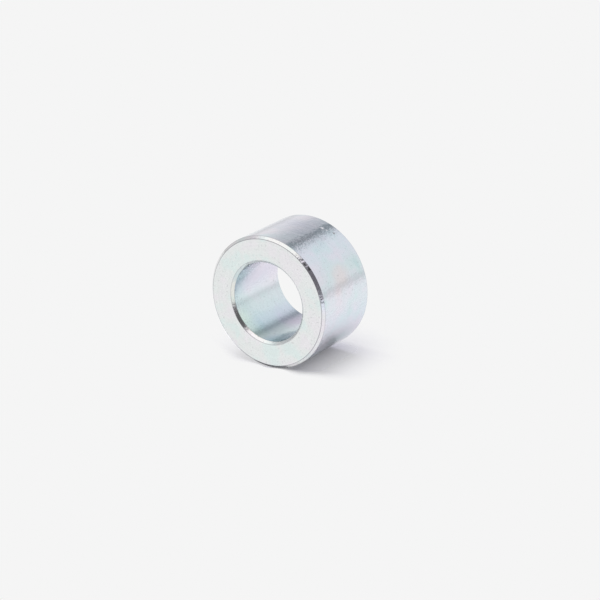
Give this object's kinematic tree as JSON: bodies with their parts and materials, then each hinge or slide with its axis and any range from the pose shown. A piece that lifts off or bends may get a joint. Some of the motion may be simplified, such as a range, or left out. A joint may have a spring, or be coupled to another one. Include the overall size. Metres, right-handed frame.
{
  "type": "spacer bushing",
  "caption": "Short plain cylindrical steel bushing with a round through bore and chamfered edges; slides over an axle or bolt to hold two parts apart.",
  "frame": {"origin": "centre of the lower end face, on the bore's axis; the bushing stands on that face", "axes": "+Z along the bore from the lower end face to the upper one, which is the end that the picture shows; X and Y are free, because the part is a body of revolution"},
  "size_m": [0.02, 0.02, 0.0117],
  "materials": {
    "zinc_plate": "bright zinc plating over turned steel, clear passivated, with faint blue, green and pink tints"
  },
  "bodies": {
    "root": {"bushing": "zinc_plate"}
  },
  "joints": []
}
